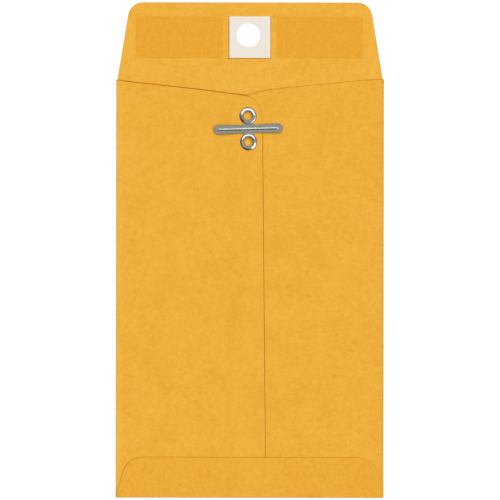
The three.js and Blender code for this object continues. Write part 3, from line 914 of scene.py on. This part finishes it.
def wavering(loop, seed):
    """An outline whose edge wanders a little, as gum does that a roller laid."""
    rng = np.random.default_rng(seed)
    phases = rng.uniform(0, 2 * math.pi, len(GUM_WAVES))
    p = np.array(resampled(loop, GUM_PITCH))
    walk = np.concatenate([[0], np.cumsum(np.linalg.norm(np.diff(p, axis=0), axis=1))])
    shift = sum(np.sin(walk * f + a) / (i + 1) for i, (f, a) in enumerate(zip(GUM_WAVES, phases)))
    return [tuple(q) for q in drawn_in(p, GUM_MARGIN) + shift[:, None] * GUM_WAVER]


def patch_high_box(x0, x1, radius):
    """A box as high as the patch, with small rounded corners."""
    return outline([
        (x0, patch_bottom, radius), (x1, patch_bottom, radius),
        (x1, patch_top, radius), (x0, patch_top, radius),
    ], 4)


# The patch's painted shadow: how far it reaches out from the patch and how high it stands
SHADOW_MARGIN = 0.28
SHADOW_RISE = 0.05


def build_patch_shadow_sheet():
    """A thin dark sheet along the patch's two sides and its lower edge: painted shadow where the
    patch's edge shades the flap.
    """
    corners = [(patch_left, patch_top), (patch_left, patch_bottom), (patch_right, patch_bottom),
               (patch_right, patch_top)]
    out = [(-1, 0), (-1, -1), (1, -1), (1, 0)]
    section = [(0, 0), (0, SHADOW_RISE), (0.8, SHADOW_RISE * 0.6), (1, 0)]
    points = [
        (x + u * SHADOW_MARGIN * share, y + v * SHADOW_MARGIN * share, PAPER + rise)
        for (x, y), (u, v) in zip(corners, out) for share, rise in section
    ]
    count = len(section)
    faces = [(3, 2, 1, 0), (12, 13, 14, 15)]
    for i in range(len(corners) - 1):
        for j in range(count):
            a, b = count * i + j, count * i + (j + 1) % count
            faces.append((a, b, b + count, a + count))
    shadow_rim = new_object("hole_patch_painted_shadow", points, faces, [patch_edge_shadow], body="closure_flap")
    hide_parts("flap_hole_patch")


def build_flap_dressing():
    """The two gum bands and the patch round the hole."""
    bands = (
        ("gum_band_left", LEFT_GUM_SETBACK - flap_root_half, patch_left - LEFT_GUM_GAP,
         "flap_gum_left", 5),
        ("gum_band_right", patch_right + RIGHT_GUM_GAP, flap_root_half - RIGHT_GUM_SETBACK,
         "flap_gum_right", 9),
    )
    for name, x0, x1, node, seed in bands:
        loop = wavering(patch_high_box(x0, x1, GUM_CORNER), seed)
        band = sheet(name, [loop], lying(PAPER + GUM_FILM), GUM_FILM, [gum], pitch=2.0,
                     rings=(0, 0.12, 0.3), rounding=0.03, edge_pitch=0.5, body="closure_flap")
        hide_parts(node)
    square = patch_high_box(patch_left, patch_right, PATCH_CORNER)
    loops = [square, circle(hole_x, hole_y, HOLE_DIAMETER / 2)]
    patch = sheet("hole_patch", loops, lying(PAPER + PATCH_PAPER), PATCH_PAPER,
                  [patch_paper, patch_edge_highlight], pitch=1.2, rings=(0, 0.28, 0.42), rounding=0.03,
                  body="closure_flap")
    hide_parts("flap_hole_patch")
    build_patch_shadow_sheet()


# Clasp

def on_clasp(points):
    """From the clasp's own plane to the envelope."""
    c, s = math.cos(clasp_turn), math.sin(clasp_turn)
    x, y, z = points[:, 0], points[:, 1], points[:, 2]
    return np.column_stack([clasp_x + x * c - y * s, clasp_y + x * s + y * c, seam_top + z])


RIB_SPREAD = 0.48
RIB_LEVEL = 0.85
RIB_DIP = 0.12
RIB_DIP_REACH = 4.5
RIB_POWER = 1.1


def rib_height(plan):
    """A pressed rib along x, round over its crown. It is lower where it crosses the strap."""
    end = RIB_LENGTH / 2 - RIB_WIDTH / 2
    x = np.clip(plan[:, 0], -end, end)
    d = np.hypot(plan[:, 0] - x, plan[:, 1])
    t = np.clip(d / (RIB_WIDTH * RIB_SPREAD), 0, 1)
    lower = RIB_LEVEL - RIB_DIP * (1 - smooth(np.abs(plan[:, 0]) / RIB_DIP_REACH))
    return lower * RIB_HEIGHT * (1 - t * t) ** RIB_POWER


def formed(heights):
    """A shape function for sheet metal from its upper height, with true normals."""
    def shape(plan):
        step = 0.01
        z = heights(plan)
        dx = (heights(plan + [step, 0]) - heights(plan - [step, 0])) / (2 * step)
        dy = (heights(plan + [0, step]) - heights(plan - [0, step])) / (2 * step)
        normal = np.column_stack([-dx, -dy, np.ones(len(plan))])
        normal /= np.linalg.norm(normal, axis=1)[:, None]
        return np.column_stack([plan, z]), normal
    return shape


CREST_SETBACK = 0.24
CROWN_POWER = 1.8
FLAT_CROWN_POWER = 7.0
# The bead's outer foot, which takes painted shade
FOOT_WIDTH = 0.13


def bead_height(r):
    """The rolled rim of an eyelet: height over the paper at a distance from its centre. Its
    crest lies near the bore, and its outer face falls gently to the paper."""
    crest = EYELET_BORE / 2 + CREST_SETBACK
    out = np.clip((r - crest) / (BEAD_DIAMETER / 2 - crest), 0, 1)
    back = np.clip((crest - r) / CREST_SETBACK, 0, 1)
    return BEAD_HEIGHT * np.minimum(1 - out ** CROWN_POWER, np.sqrt(1 - back * back))


BEAD_SINK = 0.02
JOIN_SOFTNESS = 0.05
JOIN_DROP = 0.2


def clasp_heights(plan):
    """The metal's upper height. Near the eyelets it rises softly to lie just under their beads."""
    flat = METAL + rib_height(plan)
    r = np.minimum(np.hypot(plan[:, 0], plan[:, 1] - EYELET_PITCH / 2),
                   np.hypot(plan[:, 0], plan[:, 1] + EYELET_PITCH / 2))
    bead = bead_height(r) - BEAD_SINK
    joined = flat + bead + np.sqrt((flat - bead) ** 2 + JOIN_SOFTNESS ** 2)
    return 0.5 * joined - JOIN_SOFTNESS * JOIN_DROP


UNDER_BEAD = 2.3
BLADE_STEPS = 16
FLARE_STEPS = 20


def clasp_outline():
    """The strap with both prongs, flat: it flares where they leave it and ends under the beads."""
    neck, root, arm = NECK_WIDTH / 2, PRONG_ROOT_WIDTH / 2, BAR_WIDTH / 2
    end = EYELET_PITCH / 2
    tip = end - math.sqrt(UNDER_BEAD ** 2 - neck ** 2)
    turn = BAR_LENGTH / 2 - arm
    corners = [
        (neck, -tip), (neck, -root, NECK_FILLET), (BEND_X, -root), (turn, -arm),
        *arc_points((turn, 0), (0, -arm), (arm, 0), BLADE_STEPS)[1:],
        *arc_points((turn, 0), (arm, 0), (0, arm), BLADE_STEPS)[1:],
        (BEND_X, root), (neck, root, NECK_FILLET), (neck, tip),
    ]
    right = outline(corners + [(-neck, tip), (-neck, -tip)])[:-2]
    top = arc_points((0, end), (neck, tip - end), (-neck, tip - end), FLARE_STEPS)[1:-1]
    half = right + top
    return half + [(-x, -y) for x, y in half]


METAL_ROUND = 0.1
# How far in from the cut edge the metal takes painted edge shade
METAL_RIM = 0.22
RIM_REACH = 1.03
METAL_PITCH = 0.2
METAL_EDGE_PITCH = 0.14
CUT_POINTS = 34
RIB_ROWS = 25
RIB_ROWS_HALF = 0.54
SPLIT_X = BEND_X - 0.05


def point_normals(points, faces):
    """The mean direction of the faces round each point, larger faces counting more."""
    total = np.zeros_like(points)
    for face in faces:
        corners = points[list(face)]
        area = np.cross(corners[1] - corners[0], corners[-1] - corners[0])
        total[list(face)] += area
    return total / np.maximum(np.linalg.norm(total, axis=1), TINY)[:, None]


def clasp_shell():
    """Points, point normals, faces, which faces lie on the rim that takes painted edge shade, and
    their middles, all flat.
    """
    loop = clasp_outline()
    rings = (0, METAL_ROUND * 0.4, METAL_ROUND, METAL_RIM)
    across = np.linspace(-PRONG_ROOT_WIDTH / 2, PRONG_ROOT_WIDTH / 2, CUT_POINTS)
    cuts = [[(x, v) for v in across] for x in (-SPLIT_X, SPLIT_X)]
    rows = np.linspace(-RIB_ROWS_HALF, RIB_ROWS_HALF, RIB_ROWS)
    plan, tri, boundary, _ = mesh_plan([loop], METAL_PITCH, rings, lines_v=rows,
                                       edge_pitch=METAL_EDGE_PITCH, cuts=cuts)
    top, normal = formed(clasp_heights)(plan)
    from_edge = distance_to(plan, loop)
    t = np.clip(1 - from_edge / METAL_ROUND, 0, 1)
    fall = METAL_ROUND * (1 - np.sqrt(1 - t * t))[:, None]
    points = np.concatenate([top - [0, 0, 1] * fall, top - normal * METAL])
    count = len(plan)
    points[count:, 2] = np.maximum(points[count:, 2], 0.0)
    faces = closed_faces(tri, boundary, count)
    rim = [max(from_edge[i % count] for i in f) < METAL_RIM * RIM_REACH for f in faces]
    middles = np.array([points[list(f)].mean(axis=0) for f in faces])
    normals = point_normals(points, faces)
    flat = np.flatnonzero(from_edge > METAL_ROUND)
    normals[flat], normals[flat + count] = normal[flat], -normal[flat]
    return points, normals, faces, rim, middles


def build_clasp_strip():
    """The strap and both prongs, stamped from one strip. Each prong bends at its root."""
    points, normals, faces, rim, middles = clasp_shell()
    turned = on_clasp(normals) - on_clasp(np.zeros((1, 3)))
    parts = (
        ("clasp_strap", np.abs(middles[:, 0]) <= SPLIT_X, 0, None),
        ("clasp_prong_right", middles[:, 0] > SPLIT_X, 1, "right_prong"),
        ("clasp_prong_left", middles[:, 0] < -SPLIT_X, -1, "left_prong"),
    )
    for name, chosen, side, prong in parts:
        picked = [f for f, c in zip(faces, chosen) if c]
        slots = [int(r) for r, c in zip(rim, chosen) if c]
        used = sorted({i for f in picked for i in f})
        index = {old: new for new, old in enumerate(used)}
        picked = [tuple(index[i] for i in f) for f in picked]
        piece = new_object(name, on_clasp(points[used]), picked, [tin_strap, tin_edge_shade], slots,
                           None if prong else "envelope_body")
        piece.data.normals_split_custom_set_from_vertices([tuple(n) for n in turned[used]])
        if prong:
            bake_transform(piece)
        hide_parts(prong or "clasp_base")


# Points round an eyelet and along each part of its section
EYELET_STEPS = 96
BEAD_STEPS = 22
BORE_STEPS = 9
BARREL_STEPS = 6
CLINCH_STEPS = 9

# How far in the barrel ends, and how far out its foot turns
BARREL_INSET = 0.05
FOOT_START = 0.08
FOOT_END = 0.25


def eyelet_profile(flat):
    """Rolled bead, barrel through the paper and clinched rim, as a closed ring section. The
    bead's outer face is round, or flattened by a share of flat."""
    bore, bead = EYELET_BORE / 2, BEAD_DIAMETER / 2
    crest = bore + CREST_SETBACK
    power = CROWN_POWER + (FLAT_CROWN_POWER - CROWN_POWER) * flat
    low = -(seam_top - panel_under)
    outward = [math.sin(a) for a in np.linspace(math.pi / 2, 0, BEAD_STEPS)]
    profile = [(crest + (bead - crest) * t, BEAD_HEIGHT * (1 - t ** power)) for t in outward]
    profile += [
        (crest - CREST_SETBACK * math.sin(a), BEAD_HEIGHT * math.cos(a))
        for a in np.linspace(0, math.pi / 2, BORE_STEPS)[1:]
    ]
    profile += [(bore, z) for z in np.linspace(-BARREL_INSET, low + BARREL_INSET, BARREL_STEPS)]
    profile += [
        (bore + FOOT_START, low - CLINCH_THICKNESS + BARREL_INSET),
        (bore + FOOT_END, low - CLINCH_THICKNESS),
    ]
    clinch, turn = CLINCH_DIAMETER / 2, CLINCH_THICKNESS / 2
    profile += [
        (clinch - turn + turn * math.cos(a), low - turn + turn * math.sin(a))
        for a in np.linspace(-math.pi / 2, math.pi / 2, CLINCH_STEPS)
    ]
    return profile + [(bore + BARREL_WALL, low), (bore + BARREL_WALL, 0)]


def flattening(direction, stretches):
    """How far an eyelet's outer face is flattened in a direction in degrees. Each stretch runs
    from one direction to another, fades out beyond both and has its share."""
    flat = 0
    for start, end, fade, share in stretches:
        away = abs((direction - (start + end) / 2 + 180) % 360 - 180)
        flat = max(flat, share * float(smooth(((end - start) / 2 + fade - away) / (2 * fade))))
    return flat


def eyelet_mesh(stretches):
    """A drawn eyelet, its outer face flattened in places. Its inner slope, outer foot, barrel and
    clinch take the second slot, painted shade; the rest of the bead keeps the first.
    """
    turns = range(EYELET_STEPS)
    sections = [eyelet_profile(flattening(360 * i / EYELET_STEPS, stretches)) for i in turns]
    points, faces, slots = [], [], []
    for i, section in enumerate(sections):
        a = 2 * math.pi * i / EYELET_STEPS
        points += [(r * math.cos(a), r * math.sin(a), z) for r, z in section]
    count = len(sections[0])
    # Only the bead's face from its crest to near its foot is left without painted shade
    shine_from = EYELET_BORE / 2 + CREST_SETBACK
    shine_to = BEAD_DIAMETER / 2 - FOOT_WIDTH
    for i, section in enumerate(sections):
        here, ahead = i * count, (i + 1) % EYELET_STEPS * count
        for j in range(count):
            k = (j + 1) % count
            faces.append((here + j, ahead + j, ahead + k, here + k))
            r, z = (section[j][0] + section[k][0]) / 2, (section[j][1] + section[k][1]) / 2
            slots.append(int(z <= 0 or not shine_from < r < shine_to))
    return np.array(points), faces, slots


def build_eyelets():
    eyelets = (
        ("clasp_eyelet_lower", -1, ((205, 225, 34, 1), (20, 170, 20, 0.3), (312, 330, 8, 0.12))),
        ("clasp_eyelet_upper", 1, ((240, 364, 12, 1), (55, 130, 20, 0.15))),
    )
    for name, side, stretches in eyelets:
        points, faces, slots = eyelet_mesh(stretches)
        placed = on_clasp(points + [0, side * EYELET_PITCH / 2, 0])
        eyelet = new_object(name, placed, faces, [tin_bright, tin_painted_shade], slots, "envelope_body")
        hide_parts("clasp_base")


# Setting

FLOOR_SHADE = 0.8
FLOOR_GLOW = 0.42
FLOOR_REACH = 30000
FLOOR_Z = -0.04


def floor_material():
    """Pale and matt, with a glow that only the camera and clear or shiny surfaces see."""
    material, tree = empty_material("pale_floor")
    pale = (FLOOR_SHADE, FLOOR_SHADE, FLOOR_SHADE, 1)
    matt = add_node(tree, "ShaderNodeBsdfDiffuse", {"Color": pale}).outputs["BSDF"]
    rays = tree.nodes.new("ShaderNodeLightPath").outputs
    seen = math_node(tree, "MAXIMUM", rays["Is Camera Ray"], rays["Is Glossy Ray"])
    seen = math_node(tree, "MAXIMUM", seen, rays["Is Transmission Ray"])
    strength = math_node(tree, "MULTIPLY", seen, FLOOR_GLOW)
    glow = add_node(tree, "ShaderNodeEmission", {"Color": (1, 1, 1, 1), "Strength": strength})
    both = add_node(tree, "ShaderNodeAddShader", {0: matt, 1: glow.outputs["Emission"]})
    add_node(tree, "ShaderNodeOutputMaterial", {"Surface": both.outputs["Shader"]})
    return material


def build_floor():
    corners = [(-1, -1), (1, -1), (1, 1), (-1, 1)]
    points = [(x * FLOOR_REACH, y * FLOOR_REACH, FLOOR_Z) for x, y in corners]
    floor = new_object("floor", points, [(0, 1, 2, 3)], [floor_material()])


# Each lamp's direction and height in degrees, its strength, and how wide it is in degrees
LAMPS = (
    ("lamp_right", 60, 48, 0.772, 50),
    ("lamp_left", 125, 48, 0.772, 50),
    ("lamp_low_right", -35, 42, 1.2, 40),
)
LAMP_DISTANCE = 0.8

# The world's strength, and how it fades towards the horizon and one side
WORLD_LEVEL = 0.5
HORIZON_FADE = (0.05, 0.5)
HORIZON_SHARE = 0.35
DARK_SIDE_DEG = 228
SIDE_FADE = (0.3, 0.72)
SIDE_SHARE = 0.2


def add_sun(name, azimuth, elevation, strength, spread):
    lamp = bpy.data.lights.new(name, "SUN")
    lamp.energy = strength
    lamp.angle = math.radians(spread)
    obj = linked(name, lamp)
    a, e = math.radians(azimuth), math.radians(elevation)
    toward = Vector((math.cos(e) * math.cos(a), math.cos(e) * math.sin(a), math.sin(e)))
    obj.rotation_euler = toward.to_track_quat("Z", "Y").to_euler()
    obj.location = toward * LAMP_DISTANCE


def build_lights():
    """A pale studio, darker towards the horizon and the lower left, with three soft lamps."""
    world = bpy.data.worlds.new("studio")
    bpy.context.scene.world = world
    world.use_nodes = True
    tree = world.node_tree
    direction = tree.nodes.new("ShaderNodeTexCoord").outputs["Generated"]
    z = add_node(tree, "ShaderNodeSeparateXYZ", {"Vector": direction}).outputs["Z"]
    height = remap(tree, z, *HORIZON_FADE, HORIZON_SHARE, 1)
    azimuth = math.radians(DARK_SIDE_DEG)
    aside = vector_math(tree, "DOT_PRODUCT", direction, (math.cos(azimuth), math.sin(azimuth), 0))
    dim = remap(tree, aside, *SIDE_FADE, 1, SIDE_SHARE)
    level = math_node(tree, "MULTIPLY", math_node(tree, "MULTIPLY", height, dim), WORLD_LEVEL)
    feed(tree, tree.nodes["Background"], {"Color": (1, 1, 1, 1), "Strength": level})
    for lamp in LAMPS:
        add_sun(*lamp)


VIEW_WIDTH = 193.43
CAMERA_ROLL_DEG = 0.08
CAMERA_X = 0.015
SENSOR_WIDTH = 36
LENS = 200
CLIP_END = 100


def build_camera():
    """Straight above, so high that the long lens sees VIEW_WIDTH of the table."""
    camera = bpy.data.cameras.new("camera")
    camera.sensor_width = SENSOR_WIDTH
    camera.lens = LENS
    camera.clip_end = CLIP_END
    obj = linked("camera", camera)
    height = VIEW_WIDTH * LENS / SENSOR_WIDTH
    obj.location = (CAMERA_X * MM, 0, height * MM)
    obj.rotation_euler = (0, 0, math.radians(CAMERA_ROLL_DEG))
    bpy.context.scene.camera = obj


bpy.context.scene.view_settings.view_transform = "Standard"
build_camera()
build_lights()
build_floor()
build_front()
build_sides()
build_bottom()
build_flap_dressing()
build_clasp_strip()
build_eyelets()

# The glue films keep the CAD's solids and take their own material
for node in ("centre_seam_glue", "bottom_flap_glue"):
    held = bpy.data.objects.get(node)
    if held:
        held.data.materials.clear()
        held.data.materials.append(glue)
